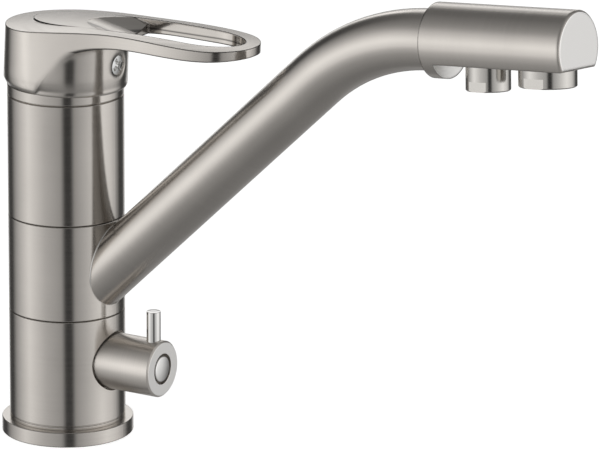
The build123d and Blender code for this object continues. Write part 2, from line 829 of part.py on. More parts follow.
# Valve stem with its seal, and the knob screwed on its end
knob_room_x1 = neck_x1 + run_gap
pocket_x = knob_x1 - button_pocket
stem_x1 = pocket_x - knob_screw_head_h
knob_screw_end = pocket_x - knob_screw_len
with BuildPart() as valve_stem:
    with BuildSketch(valve_plane.offset(stem_x0)):
        Circle(valve_disc_r)
    extrude(amount=stem_collar_t)
    with BuildSketch(valve_plane.offset(stem_x0)):
        Circle(stem_r)
    extrude(amount=stem_x1 - stem_x0)
    with BuildSketch(valve_side):
        with Locations((stem_seal_x, stem_r)):
            Rectangle(stem_seal_d + 2 * o_ring_side, 2 * stem_seal_d)
    revolve(axis=valve_axis, mode=Mode.SUBTRACT)
    with BuildSketch(valve_plane.offset(stem_x1)):
        Circle(knob_screw_d / 2 + fit_gap)
    extrude(amount=knob_screw_end - fit_gap - stem_x1, mode=Mode.SUBTRACT)
write(valve_stem, "valve_stem")

o_ring_piece("valve_stem_seal", [valve_plane.offset(stem_seal_x)], stem_r - stem_seal_d / 2, stem_seal_d)

pin_x = knob_x1 - lever_pin_inset
pin_plane = Plane.XY.offset(valve_z + knob_r - lever_pin_seat)
button_r = button_d / 2
with BuildPart() as valve_knob:
    with BuildSketch(valve_plane.offset(knob_x0)):
        Circle(knob_r)
    extrude(amount=knob_len)
    rim = valve_knob.edges().filter_by(GeomType.CIRCLE).sort_by(Axis.X)
    chamfer(rim[-1], knob_bevel)
    chamfer(rim[0], edge_break)
    with BuildSketch(valve_plane.offset(knob_x0)):
        Circle(headwork_r + headwork_collar + recess_gap)
    extrude(amount=knob_room_x1 - knob_x0, mode=Mode.SUBTRACT)
    with BuildSketch(valve_plane.offset(knob_x0)):
        Circle(stem_r + fit_gap)
    extrude(amount=stem_x1 + fit_gap - knob_x0, mode=Mode.SUBTRACT)
    with BuildSketch(valve_plane.offset(knob_x0)):
        Circle(knob_screw_d / 2 + fit_gap)
    extrude(amount=knob_len, mode=Mode.SUBTRACT)
    with BuildSketch(valve_plane.offset(pocket_x)):
        Circle(button_r + button_ring)
    extrude(amount=button_pocket, mode=Mode.SUBTRACT)
    with BuildSketch(pin_plane):
        with Locations((pin_x, 0)):
            Circle(lever_pin_d / 2 + fit_gap)
    extrude(amount=knob_r, mode=Mode.SUBTRACT)
write(valve_knob, "valve_knob")

with BuildPart() as valve_lever_pin:
    with BuildSketch(pin_plane):
        with Locations((pin_x, 0)):
            Circle(lever_pin_d / 2)
    extrude(amount=lever_pin_top - knob_r + lever_pin_seat)
    chamfer(valve_lever_pin.faces().sort_by(Axis.Z)[-1].edges(), knob_bevel)
write(valve_lever_pin, "valve_lever_pin")

with BuildPart() as valve_knob_screw:
    with BuildSketch(valve_plane.offset(pocket_x)):
        Circle(knob_screw_head_d / 2)
    extrude(amount=knob_screw_head_h)
    with BuildSketch(valve_plane.offset(pocket_x)):
        Circle(knob_screw_d / 2)
    extrude(amount=-knob_screw_len)
write(valve_knob_screw, "valve_knob_screw")

with BuildPart() as valve_knob_cap:
    with BuildSketch(valve_side):
        with BuildLine():
            Polyline(
                (knob_x1, 0),
                (knob_x1 - button_wall, 0),
                (knob_x1 - button_wall, button_r - button_wall),
                (pocket_x, button_r - button_wall),
                (pocket_x, button_r),
                (knob_x1, button_r),
            )
            RadiusArc((knob_x1, button_r), (knob_x1 + button_crown, 0), (button_r**2 + button_crown**2) / 2 / button_crown)
            Line((knob_x1 + button_crown, 0), (knob_x1, 0))
        make_face()
    revolve(axis=valve_axis)
write(valve_knob_cap, "valve_knob_cap")

# Spout frame: rising pipe, one bend, then the head
rise = radians(pipe_angle)
level = radians(head_angle)
turn = radians(spout_turn)
roll = radians(head_turn)
spout_x = Vector(cos(turn), sin(turn), 0)
spout_y = Vector(-sin(turn), cos(turn), 0)
spout_z = Vector(0, 0, 1)
pipe_dir = spout_x * cos(rise) + spout_z * sin(rise)
pipe_up = spout_z * cos(rise) - spout_x * sin(rise)
head_dir = spout_x * cos(level) + spout_z * sin(level)
head_up = spout_z * cos(level) - spout_x * sin(level)
outlet_up = head_up * cos(roll) + spout_y * sin(roll)
outlet_y = spout_y * cos(roll) - head_up * sin(roll)
pipe_foot = spout_z * pipe_z0
corner = pipe_foot + pipe_dir * (corner_reach / cos(rise))
head_tip = corner + head_dir * ((spout_reach - corner_reach) / cos(level))
head_start = head_tip - head_dir * head_len
pipe_end = head_start + head_dir * head_socket
pipe_plane = Plane(pipe_foot, x_dir=spout_y, z_dir=pipe_dir)
head_plane = Plane(head_start, x_dir=spout_y, z_dir=head_dir)
outlet_plane = Plane(head_start, x_dir=outlet_y, z_dir=head_dir)
corner_shift = (pipe_up + head_up) * (1 / (1 + cos(rise - level)))

# Swivel ring: middle of the column, with the two ports into the spout
with BuildPart() as swivel_ring:
    with BuildSketch(Plane.XY.offset(ring_z0 + seam / 2)):
        Circle(body_r)
        Circle(ring_bore_r, mode=Mode.SUBTRACT)
    extrude(amount=ring_h - seam)
    rim = swivel_ring.edges().filter_by(GeomType.CIRCLE).filter_by(lambda e: abs(e.radius - body_r) < fit_gap)
    chamfer(rim, edge_break)
    with BuildSketch(pipe_plane):
        with Locations((0, port_up)):
            Circle(port_r)
        with Locations((0, -tube_down)):
            Circle(tube_r + fit_gap)
    extrude(amount=body_d, mode=Mode.SUBTRACT)
write(swivel_ring, "swivel_ring")

with BuildPart() as spout_pipe:
    with BuildLine() as pipe_path:
        FilletPolyline(pipe_foot + pipe_dir * core_r / 2, corner, pipe_end, radius=bend_r)
    with BuildSketch(pipe_plane.offset(core_r / 2)):
        Circle(pipe_r)
        Circle(pipe_r - pipe_wall, mode=Mode.SUBTRACT)
    sweep(path=pipe_path.wire())
    with BuildSketch():
        Circle(body_r)
    extrude(amount=2 * upper_z1, mode=Mode.SUBTRACT)
write(spout_pipe, "spout_pipe")

with BuildPart() as filter_tube:
    with BuildLine() as tube_path:
        FilletPolyline(
            pipe_foot + pipe_dir * core_r / 2 - pipe_up * tube_down,
            corner - corner_shift * tube_down,
            pipe_end - head_up * tube_down + head_dir * tube_plug,
            radius=bend_r - tube_down,
        )
    with BuildSketch(pipe_plane.offset(core_r / 2)):
        with Locations((0, -tube_down)):
            Circle(tube_r)
            Circle(tube_r - tube_wall, mode=Mode.SUBTRACT)
    sweep(path=tube_path.wire())
    with BuildSketch():
        Circle((ring_bore_r + body_r) / 2)
    extrude(amount=2 * upper_z1, mode=Mode.SUBTRACT)
write(filter_tube, "filter_tube")

# Head: round collar on the pipe, flat underside with the two outlets
main_seat = head_tip - head_dir * main_inset - outlet_up * head_flat
filter_seat = head_tip - head_dir * filter_inset - outlet_up * head_flat
main_plane = Plane(main_seat, x_dir=head_dir, z_dir=-outlet_up)
filter_plane = Plane(filter_seat, x_dir=head_dir, z_dir=-outlet_up)
head_seal_mid = head_socket / 2
with BuildPart() as spout_head:
    with BuildSketch(head_plane):
        Circle(head_r)
    extrude(amount=head_len)
    with BuildSketch(outlet_plane.offset(head_collar)):
        with Locations((0, -head_flat)):
            Rectangle(2 * head_d, head_r, align=(Align.CENTER, Align.MAX))
    extrude(amount=head_len, mode=Mode.SUBTRACT)
    chamfer(spout_head.faces().sort_by(Axis.X)[-1].edges(), head_round)
    with BuildSketch(head_plane):
        Circle(pipe_r + fit_gap)
    extrude(amount=head_socket, mode=Mode.SUBTRACT)
    with BuildSketch(Plane(head_start, x_dir=head_dir, z_dir=-spout_y)):
        with Locations((head_seal_mid, pipe_r)):
            Rectangle(head_seal_d + 2 * o_ring_side, 2 * (head_seal_d + fit_gap))
    revolve(axis=Axis(head_start, head_dir), mode=Mode.SUBTRACT)
    with BuildSketch(head_plane):
        with Locations((0, main_way_up)):
            Circle(main_way_r)
    extrude(amount=head_len - main_inset, mode=Mode.SUBTRACT)
    with BuildSketch(head_plane):
        with Locations((0, -tube_down)):
            Circle(tube_r + fit_gap)
    extrude(amount=head_socket + tube_plug, mode=Mode.SUBTRACT)
    with BuildSketch(head_plane):
        with Locations((0, -tube_down)):
            Circle(tube_r - tube_wall)
    extrude(amount=head_len - filter_inset, mode=Mode.SUBTRACT)
    with BuildSketch(head_plane):
        with Locations((0, -tube_down)):
            Circle(tube_r + tube_seal_d)
    extrude(amount=head_socket + tube_seal_d, mode=Mode.SUBTRACT)
    with BuildSketch(main_plane):
        Circle(main_thread_d / 2 + fit_gap)
    extrude(amount=-(main_thread_len + aerator_washer_t), mode=Mode.SUBTRACT)
    with BuildSketch(main_plane):
        Circle(main_way_r)
    extrude(amount=-(head_flat + main_way_up), mode=Mode.SUBTRACT)
    with BuildSketch(filter_plane):
        Circle(filter_thread_d / 2 + fit_gap)
    extrude(amount=-(filter_thread_len + aerator_washer_t), mode=Mode.SUBTRACT)
write(spout_head, "spout_head")

o_ring_piece("head_o_ring", [head_plane.offset(head_seal_mid)], pipe_r + head_seal_d / 2, head_seal_d)
seal_seat = Plane(pipe_end - head_up * tube_down + head_dir * tube_seal_d / 2, x_dir=spout_y, z_dir=head_dir)
o_ring_piece("filter_tube_seal", [seal_seat], tube_r + tube_seal_d / 2, tube_seal_d)


def aerator(name, plane, outer_r, thread_r, thread_len, drop):
    bore_r = thread_r - aerator_wall
    seat_z = drop - aerator_lip_h
    side = Plane(plane.origin, x_dir=plane.x_dir, z_dir=-plane.y_dir)
    with BuildPart() as housing:
        with BuildSketch(side):
            with BuildLine():
                Polyline(
                    (bore_r, -thread_len),
                    (thread_r, -thread_len),
                    (thread_r, 0),
                    (outer_r, 0),
                    (outer_r, drop - aerator_edge),
                    (outer_r - aerator_edge, drop),
                    (bore_r - aerator_lip, drop),
                    (bore_r - aerator_lip, seat_z),
                    (bore_r, seat_z),
                    close=True,
                )
            make_face()
        revolve(axis=Axis(plane.origin, plane.z_dir))
        with BuildSketch(plane.offset(drop - aerator_flat_h)):
            Circle(2 * outer_r)
            Rectangle(2 * outer_r, 2 * (outer_r - aerator_flat), mode=Mode.SUBTRACT)
        extrude(amount=aerator_flat_h, mode=Mode.SUBTRACT)
    write(housing, f"{name}_housing")
    with BuildPart() as insert:
        with BuildSketch(plane.offset(seat_z)):
            Circle(bore_r - fit_gap)
            with PolarLocations(jet_circle_r, jet_count):
                Circle(jet_r, mode=Mode.SUBTRACT)
        extrude(amount=-aerator_insert_t)
    write(insert, f"{name}_insert")
    ring_piece(f"{name}_washer", plane.offset(-thread_len), thread_r, bore_r, -aerator_washer_t)


main_aerator_r = main_aerator_d / 2
filter_aerator_r = filter_aerator_d / 2
aerator("main_aerator", main_plane, main_aerator_r, main_thread_d / 2, main_thread_len, main_aerator_drop)
aerator("filter_aerator", filter_plane, filter_aerator_r, filter_thread_d / 2, filter_thread_len, filter_aerator_drop)

# Fixing under the deck: stud, rubber washer, steel plate and nut
stud_r = stud_d / 2
stud_top = core_lift + stud_seat
with BuildPart() as fixing_stud:
    with BuildSketch(Plane.XY.offset(stud_top)):
        with Locations((stud_x, 0)):
            Circle(stud_r)
    extrude(amount=-stud_len)
write(fixing_stud, "fixing_stud")


def clamp_piece(name, top, thickness):
    with BuildPart() as piece:
        with BuildSketch(Plane.XY.offset(top)):
            Circle(clamp_d / 2)
            with Locations((hose_slot_x, 0)):
                Rectangle(clamp_d, hose_slot_w, align=(Align.MIN, Align.CENTER), mode=Mode.SUBTRACT)
            with Locations((stud_x, 0)):
                Circle(stud_r + stud_gap, mode=Mode.SUBTRACT)
        extrude(amount=-thickness)
    write(piece, name)


clamp_piece("fixing_washer", -deck_t, washer_t)
clamp_piece("fixing_plate", -deck_t - washer_t, plate_t)

with BuildPart() as fixing_nut:
    with BuildSketch(Plane.XY.offset(-deck_t - washer_t - plate_t)):
        with Locations((stud_x, 0)):
            RegularPolygon(nut_flats / 2, 6, major_radius=False)
            Circle(stud_r + fit_gap, mode=Mode.SUBTRACT)
    extrude(amount=-fixing_nut_h)
write(fixing_nut, "fixing_nut")
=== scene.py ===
import json
from math import cos, radians, sin

import bpy
import numpy as np
from mathutils import Matrix, Vector

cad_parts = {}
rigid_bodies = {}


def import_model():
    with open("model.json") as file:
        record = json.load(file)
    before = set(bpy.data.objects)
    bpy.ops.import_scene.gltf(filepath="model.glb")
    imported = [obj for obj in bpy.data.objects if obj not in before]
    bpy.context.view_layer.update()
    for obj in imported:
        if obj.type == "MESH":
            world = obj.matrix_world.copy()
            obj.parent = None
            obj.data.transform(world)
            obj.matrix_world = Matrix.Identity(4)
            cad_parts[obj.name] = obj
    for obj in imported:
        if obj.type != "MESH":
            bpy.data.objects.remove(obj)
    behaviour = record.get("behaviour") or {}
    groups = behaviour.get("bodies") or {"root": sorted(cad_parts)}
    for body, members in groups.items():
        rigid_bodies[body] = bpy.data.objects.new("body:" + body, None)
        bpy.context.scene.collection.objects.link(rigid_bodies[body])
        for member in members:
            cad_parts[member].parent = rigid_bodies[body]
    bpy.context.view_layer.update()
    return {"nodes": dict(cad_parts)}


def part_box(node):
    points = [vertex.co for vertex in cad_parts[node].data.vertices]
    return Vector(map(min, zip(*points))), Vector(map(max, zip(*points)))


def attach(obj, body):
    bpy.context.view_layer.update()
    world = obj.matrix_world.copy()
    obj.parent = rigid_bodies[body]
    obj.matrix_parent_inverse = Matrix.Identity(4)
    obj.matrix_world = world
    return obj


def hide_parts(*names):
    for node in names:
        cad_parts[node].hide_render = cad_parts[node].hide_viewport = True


for leftover in list(bpy.data.objects):
    bpy.data.objects.remove(leftover)
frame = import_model()
nodes = frame["nodes"]
print("frame loaded,", len(nodes), "nodes")

# camera at the photo's viewing angle: round the target by azimuth and elevation, then rolled
view = {
    "azimuth": 30.9364,
    "elevation": 15.9415,
    "distance": 2.42754,
    "target": (0.117027, 0.0, 0.10893),
    "roll": 0.2562,
    "lens": 348.17,
    "sensor": 36,
    "clip": (0.05, 100),
    "frameWidth": 600,
    "shiftPixels": (-0.5, 0.5),
}


def addCamera():
    azimuth = radians(view["azimuth"])
    elevation = radians(view["elevation"])
    roll = radians(view["roll"])
    back = Vector((sin(azimuth) * cos(elevation), -cos(azimuth) * cos(elevation), sin(elevation)))
    right = (-back).cross(Vector((0, 0, 1))).normalized()
    up = right.cross(-back)
    rolledRight = right * cos(roll) + up * sin(roll)
    rolledUp = up * cos(roll) - right * sin(roll)
    place = Vector(view["target"]) + back * view["distance"]
    data = bpy.data.cameras.new("photoCamera")
    data.sensor_width = view["sensor"]
    data.lens = view["lens"]
    data.shift_x, data.shift_y = (pixels / view["frameWidth"] for pixels in view["shiftPixels"])
    data.clip_start, data.clip_end = view["clip"]
    camera = bpy.data.objects.new("photoCamera", data)
    camera.matrix_world = Matrix(
        [[rolledRight[i], rolledUp[i], back[i], place[i]] for i in range(3)] + [[0, 0, 0, 1]]
    )
    bpy.context.scene.collection.objects.link(camera)
    bpy.context.scene.camera = camera


addCamera()
print("camera placed")


# small helpers for node trees: an input is given a value, or an output socket to link
def newTree(name):
    material = bpy.data.materials.new(name)
    material.use_nodes = True
    tree = material.node_tree
    return material, tree, tree.nodes["Principled BSDF"]


def feed(tree, socket, value):
    if isinstance(value, bpy.types.NodeSocket):
        tree.links.new(value, socket)
    else:
        socket.default_value = value


def addNode(tree, kind, inputs=None, **settings):
    node = tree.nodes.new(kind)
    for key, value in settings.items():
        setattr(node, key, value)
    for key, value in (inputs or {}).items():
        feed(tree, node.inputs[key], value)
    return node


def addMath(tree, operation, first, second=None, clamp=False):
    inputs = {0: first} if second is None else {0: first, 1: second}
    return addNode(tree, "ShaderNodeMath", inputs, operation=operation, use_clamp=clamp).outputs[0]


def addVector(tree, operation, first, second=None, scale=None):
    inputs = {0: first}
    if second is not None:
        inputs[1] = second
    if scale is not None:
        inputs["Scale"] = scale
    node = addNode(tree, "ShaderNodeVectorMath", inputs, operation=operation)
    return node.outputs["Value" if operation == "DOT_PRODUCT" else "Vector"]


def addMix(tree, kind, factor, first, second, blend="MIX"):
    # the Mix node has sockets of its own for each kind: where the first input and the output are
    start, out = {"FLOAT": (2, 0), "VECTOR": (4, 1), "RGBA": (6, 2)}[kind]
    inputs = {0: factor, start: first, start + 1: second}
    return addNode(tree, "ShaderNodeMix", inputs, data_type=kind, blend_type=blend).outputs[out]


def addRange(tree, value, fromLow, fromHigh, toLow, toHigh):
    inputs = {"Value": value, "From Min": fromLow, "From Max": fromHigh, "To Min": toLow, "To Max": toHigh}
    return addNode(tree, "ShaderNodeMapRange", inputs).outputs[0]


def addNoise(tree, place, scale, detail, roughness=0.5):
    inputs = {"Vector": place, "Scale": scale, "Detail": detail, "Roughness": roughness}
    return addNode(tree, "ShaderNodeTexNoise", inputs).outputs["Fac"]


def addRamp(tree, value, stops):
    node = addNode(tree, "ShaderNodeValToRGB", {"Fac": value})
    elements = node.color_ramp.elements
    elements[0].position, elements[1].position = stops[0][0], stops[-1][0]
    elements[0].color, elements[1].color = (*stops[0][1], 1), (*stops[-1][1], 1)
    for position, colour in stops[1:-1]:
        elements.new(position).color = (*colour, 1)
    return node.outputs["Color"]


# studio: soft walls round the object by bearing from the camera's side in degrees, with dark gaps, dimmed by
# height, which runs from -1 straight down to 1 straight up, and a white background for the camera alone
studio = {
    "walls": [
        (-180, 0.32), (-171, 0.48), (-166, 1.0), (-160, 0.32), (-150, 0.06), (-132, 0.06), (-117, 0.42),
        (-78, 1.05), (-40, 0.62), (-8, 0.42), (-1, 0.03), (12, 0.03), (18, 0.40), (40, 0.62), (75, 1.05),
        (100, 0.84), (117, 0.5), (130, 0.06), (150, 0.06), (160, 0.32), (166, 1.0), (171, 0.48), (180, 0.32),
    ],
    "heights": [
        (-1.0, 0.0), (-0.68, 0.12), (-0.45, 0.45), (-0.275, 0.80), (0.0, 1.0), (0.08, 1.0), (0.24, 0.84),
        (0.45, 0.55), (0.62, 0.24), (0.8, 0.1), (1.0, 0.0),
    ],
    "ends": [(-1.0, 0.17), (-0.7, 0.2), (-0.35, 0.0), (0.35, 0.0), (0.8, 0.14), (1.0, 0.16)],
    "panelBearings": [(-180, 1.0), (-168, 1.0), (-158, 0.0), (158, 0.0), (168, 1.0), (180, 1.0)],
    "panelHeights": [
        (-1.0, 0.0), (0.2, 0.0), (0.25, 0.12), (0.3, 0.55), (0.43, 0.9), (0.49, 0.5), (0.56, 0.0), (1.0, 0.0),
    ],
    "strength": 1.32,
}


def byBearing(stops):
    return [(angle / 360 + 0.5, (level,) * 3) for angle, level in stops]


def byHeight(stops):
    return [(height / 2 + 0.5, (level,) * 3) for height, level in stops]


def buildWorld():
    world = bpy.data.worlds.new("studio")
    bpy.context.scene.world = world
    world.use_nodes = True
    tree = world.node_tree
    tree.nodes.clear()
    way = addNode(tree, "ShaderNodeTexCoord").outputs["Generated"]
    axes = addNode(tree, "ShaderNodeSeparateXYZ", {"Vector": way}).outputs
    # bearing and height, each as 0 to 1
    turn = radians(view["azimuth"])
    front = addMath(
        tree, "SUBTRACT",
        addMath(tree, "MULTIPLY", axes["X"], sin(turn)), addMath(tree, "MULTIPLY", axes["Y"], cos(turn)),
    )
    side = addMath(
        tree, "ADD",
        addMath(tree, "MULTIPLY", axes["X"], cos(turn)), addMath(tree, "MULTIPLY", axes["Y"], sin(turn)),
    )
    angle = addMath(tree, "ARCTAN2", side, front)
    bearing = addMath(tree, "ADD", addMath(tree, "DIVIDE", angle, radians(360)), 0.5)
    height = addMath(tree, "ADD", addMath(tree, "MULTIPLY", axes["Z"], 0.5), 0.5)
    # the walls are brightest at the horizon and fade to a dim ceiling and floor
    walls = addRamp(tree, bearing, byBearing(studio["walls"]))
    fade = addRamp(tree, height, byHeight(studio["heights"]))
    ends = addRamp(tree, height, byHeight(studio["ends"]))
    light = addMix(tree, "RGBA", 1.0, addMix(tree, "RGBA", 1.0, walls, fade, "MULTIPLY"), ends, "ADD")
    # a light panel behind the tap, above the horizon
    wide = addRamp(tree, bearing, byBearing(studio["panelBearings"]))
    tall = addRamp(tree, height, byHeight(studio["panelHeights"]))
    light = addMix(tree, "RGBA", 1.0, light, addMix(tree, "RGBA", 1.0, wide, tall, "MULTIPLY"), "ADD")
    lit = addNode(tree, "ShaderNodeBackground", {"Color": light, "Strength": studio["strength"]})
    white = addNode(tree, "ShaderNodeBackground", {"Color": (1, 1, 1, 1), "Strength": 1.0})
    seen = addNode(tree, "ShaderNodeLightPath").outputs["Is Camera Ray"]
    choice = addNode(tree, "ShaderNodeMixShader", {0: seen, 1: lit.outputs[0], 2: white.outputs[0]})
    addNode(tree, "ShaderNodeOutputWorld", {"Surface": choice.outputs[0]})


# floor: pale, and clear when seen from below, so that the underside shows
floorLook = {
    "reach": 6,
    "colour": (0.95, 0.95, 0.95, 1),
    "roughness": 0.9,
    "glow": 0.75,
}


def addFloor():
    corners = floorLook["reach"] * np.array([(-1, -1, 0), (1, -1, 0), (1, 1, 0), (-1, 1, 0)], float)
    data = bpy.data.meshes.new("floor")
    data.from_pydata(corners, [], [(0, 1, 2, 3)])
    floor = bpy.data.objects.new("floor", data)
    material, tree, shader = newTree("paleFloor")
    shader.inputs["Base Color"].default_value = floorLook["colour"]
    shader.inputs["Roughness"].default_value = floorLook["roughness"]
    glow = addNode(tree, "ShaderNodeEmission", {"Color": (1, 1, 1, 1), "Strength": floorLook["glow"]})
    pale = addNode(tree, "ShaderNodeAddShader", {0: shader.outputs[0], 1: glow.outputs[0]})
    below = addNode(tree, "ShaderNodeNewGeometry").outputs["Backfacing"]
    clear = addNode(tree, "ShaderNodeBsdfTransparent")
    sided = addNode(tree, "ShaderNodeMixShader", {0: below, 1: pale.outputs[0], 2: clear.outputs[0]})
    feed(tree, tree.nodes["Material Output"].inputs["Surface"], sided.outputs[0])
    data.materials.append(material)
    bpy.context.scene.collection.objects.link(floor)
    floor.visible_glossy = False


buildWorld()
addFloor()
print("studio built")

# brushed nickel: warm grey metal with fine turned lines round the piece's axis
nickel = {
    "colour": (0.62, 0.585, 0.545),
    "tones": [(0.35, 0.955), (0.65, 1.04)],
    "roughness": 0.22,
    "roughnessSwing": 0.03,
    "stretch": 0.8,
    "stretchTurn": 0.25,
    "lines": 2200,
    "lineRoughness": 0.6,
    "lineLow": 0.3,
    "lineHigh": 0.7,
    "spread": 9,
    "clouds": 45,
    "detail": 2,
    "edge": 0.0004,
    "edgeSamples": 8,
    "satin": 0.3,
    "satinColour": (0.99, 0.975, 0.95, 1),
    "satinFacing": 0.95,
    "endGrain": (0, 0, 1),
    "topGrain": (1, 0, 0),
}


def brushedNickel(
    name, axis=(0, 0, 1), middle=(0, 0, 0), roughness=nickel["roughness"], paintedLightGain=1.0,
    rounding=nickel["edge"], satin=False, edge=None,
):
    material, tree, shader = newTree(name)
    spots = addNode(tree, "ShaderNodeTexCoord").outputs
    place = spots["Object"]
    bent = callable(axis)
    way = axis(tree, place) if bent else axis
    pole = addNode(tree, "ShaderNodeCombineXYZ", dict(enumerate(way))).outputs[0]
    # noise that is slow round the piece and quick along its axis
    along = addVector(tree, "DOT_PRODUCT", place, pole)
    slow = addVector(tree, "SCALE", place, scale=nickel["spread"])
    quick = addVector(tree, "SCALE", pole, scale=addMath(tree, "MULTIPLY", along, nickel["lines"]))
    drawn = addVector(tree, "ADD", slow, quick)
    lines = addNoise(tree, drawn, 1.0, nickel["detail"], nickel["lineRoughness"])
    clouds = addNoise(tree, place, nickel["clouds"], nickel["detail"])
    swing = nickel["roughnessSwing"]
    rough = addRange(tree, lines, nickel["lineLow"], nickel["lineHigh"], roughness - swing, roughness + swing)
    # lines and slow clouds shift the tone a little, half each
    mixed = addMath(
        tree, "ADD", addMath(tree, "MULTIPLY", lines, 0.5), addMath(tree, "MULTIPLY", clouds, 0.5)
    )
    # a tone gain above 1 makes a lighter copy of the nickel, which is painted light
    colour = addRamp(tree, mixed, [
        (level, tuple(share * paintedLightGain * part for part in nickel["colour"])) for level, share in nickel["tones"]
    ])
    even = None
    if satin:
        # faces square to the axis are fine blasted instead of brushed
        facing = addVector(tree, "DOT_PRODUCT", spots["Normal"], pole)
        even = addMath(tree, "GREATER_THAN", facing, nickel["satinFacing"])
        colour = addMix(tree, "RGBA", even, colour, nickel["satinColour"])
        rough = addMix(tree, "FLOAT", even, rough, nickel["satin"])
    # edges are a little rounded
    rounded = addNode(tree, "ShaderNodeBevel", {"Radius": rounding}, samples=nickel["edgeSamples"])
    if edge is not None:
        colour, rough, even = edge(tree, spots, rounded, colour, rough)
    # the grain runs round the axis: axis cross the way out from it, which is the normal on a bent pipe
    if bent:
        outward = addNode(tree, "ShaderNodeNewGeometry").outputs["Normal"]
    else:
        outward = addVector(tree, "SUBTRACT", place, middle)
    grain = addVector(tree, "CROSS_PRODUCT", pole, outward)
    if even is not None:
        grain = addMix(tree, "VECTOR", even, grain, nickel["endGrain"] if satin else nickel["topGrain"])
    feed(tree, shader.inputs["Base Color"], colour)
    feed(tree, shader.inputs["Roughness"], rough)
    feed(tree, shader.inputs["Normal"], rounded.outputs[0])
    feed(tree, shader.inputs["Tangent"], grain)
    shader.inputs["Anisotropic"].default_value = nickel["stretch"]
    shader.inputs["Anisotropic Rotation"].default_value = nickel["stretchTurn"]
    shader.inputs["Metallic"].default_value = 1.0
    return material


# spout pipe: its direction swings from its rise to the head's slope through the bend
pipe = {
    "bendStart": 0.113,
    "bendEnd": 0.176,
    "rise": 43.15,
    "slope": 5.04,
    "turn": -2.7,
}


def pipeAxis(tree, place):
    x = addNode(tree, "ShaderNodeSeparateXYZ", {"Vector": place}).outputs["X"]
    rise, slope, turn = radians(pipe["rise"]), radians(pipe["slope"]), radians(pipe["turn"])
    angle = addRange(tree, x, pipe["bendStart"], pipe["bendEnd"], rise, slope)
    flat = addMath(tree, "COSINE", angle)
    return (
        addMath(tree, "MULTIPLY", flat, cos(turn)),
        addMath(tree, "MULTIPLY", flat, sin(turn)),
        addMath(tree, "SINE", angle),
    )


# plain finishes: one colour, with a roughness that a fine noise shifts between two shares of it
metalGrain = {
    "scale": 160,
    "detail": 3,
    "low": 0.8,
    "high": 1.25,
    "metallic": 1.0,
}
matterGrain = {
    "scale": 220,
    "detail": 3,
    "low": 0.85,
    "high": 1.1,
    "metallic": 0.0,
}


def plainLook(name, grain, colour, roughness):
    material, tree, shader = newTree(name)
    place = addNode(tree, "ShaderNodeTexCoord").outputs["Object"]
    noise = addNoise(tree, place, grain["scale"], grain["detail"])
    rough = addRange(tree, noise, 0, 1, roughness * grain["low"], roughness * grain["high"])
    feed(tree, shader.inputs["Roughness"], rough)
    shader.inputs["Base Color"].default_value = (*colour, 1)
    shader.inputs["Metallic"].default_value = grain["metallic"]
    return material


# handle: wide rounding under the arch, fine at the rim and crown, with painted shade on the edge lines and a
# painted shade line along the loop's inner walls, and a polished loop
handleLook = {
    "rimHeight": 0.0062,
    "rimRadius": 0.0003,
    "archRadius": 0.004,
    "crownFrom": 0.1745,
    "crownTo": 0.1785,
    "crownRadius": 0.001,
    "turnLow": 0.015,
    "turnHigh": 0.09,
    "edgeShade": (0.22, 0.22, 0.22, 1),
    "topFacing": 0.6,
    "loopFrom": 0.165,
    "loopFacing": -0.0005,
    "loopRoughness": 0.09,
    "creaseShadeLine": 0.1801,
    "creaseShadeWidth": 0.0006,
}


def handleEdge(tree, spots, rounded, colour, rough):
    look = handleLook
    where = addNode(tree, "ShaderNodeSeparateXYZ", {"Vector": spots["Object"]}).outputs
    facing = addNode(tree, "ShaderNodeSeparateXYZ", {"Vector": spots["Normal"]}).outputs
    # the radius grows up from the handle's lower rim and shrinks again towards the crown
    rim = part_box("handle_lever")[0][2]
    growing = addRange(tree, where["Z"], rim, rim + look["rimHeight"], look["rimRadius"], look["archRadius"])
    shrinking = addRange(
        tree, where["Z"], look["crownFrom"], look["crownTo"], look["archRadius"], look["crownRadius"]
    )
    feed(tree, rounded.inputs["Radius"], addMath(tree, "MINIMUM", growing, shrinking))
    # an edge is where the rounded normal leaves the flat one; above the crown's start the colour is darkened
    # there, a painted shade
    flat = addNode(tree, "ShaderNodeNewGeometry").outputs["Normal"]
    turned = addMath(tree, "SUBTRACT", 1.0, addVector(tree, "DOT_PRODUCT", rounded.outputs[0], flat))
    line = addRange(tree, turned, look["turnLow"], look["turnHigh"], 0, 1)
    above = addMath(tree, "GREATER_THAN", where["Z"], look["crownFrom"])
    # the loop's inner walls face the lever's middle line, with a line of painted shade along them at one
    # height
    inward = addMath(tree, "LESS_THAN", addMath(tree, "MULTIPLY", where["Y"], facing["Y"]), look["loopFacing"])
    inward = addMath(tree, "MULTIPLY", inward, addMath(tree, "GREATER_THAN", where["Z"], look["loopFrom"]))
    away = addMath(tree, "ABSOLUTE", addMath(tree, "SUBTRACT", where["Z"], look["creaseShadeLine"]))
    creaseShadeLine = addMath(tree, "SUBTRACT", 1.0, addMath(tree, "DIVIDE", away, look["creaseShadeWidth"]), clamp=True)
    paintedShade = addMath(
        tree, "MAXIMUM", addMath(tree, "MULTIPLY", line, above), addMath(tree, "MULTIPLY", creaseShadeLine, inward)
    )
    # painted shade: the colour is darkened along the edge lines and along the line on the loop's walls
    shaded = addMix(tree, "RGBA", paintedShade, colour, look["edgeShade"], "MULTIPLY")
    smoother = addMix(tree, "FLOAT", inward, rough, look["loopRoughness"])
    top = addMath(tree, "GREATER_THAN", facing["Z"], look["topFacing"])
    return shaded, smoother, top


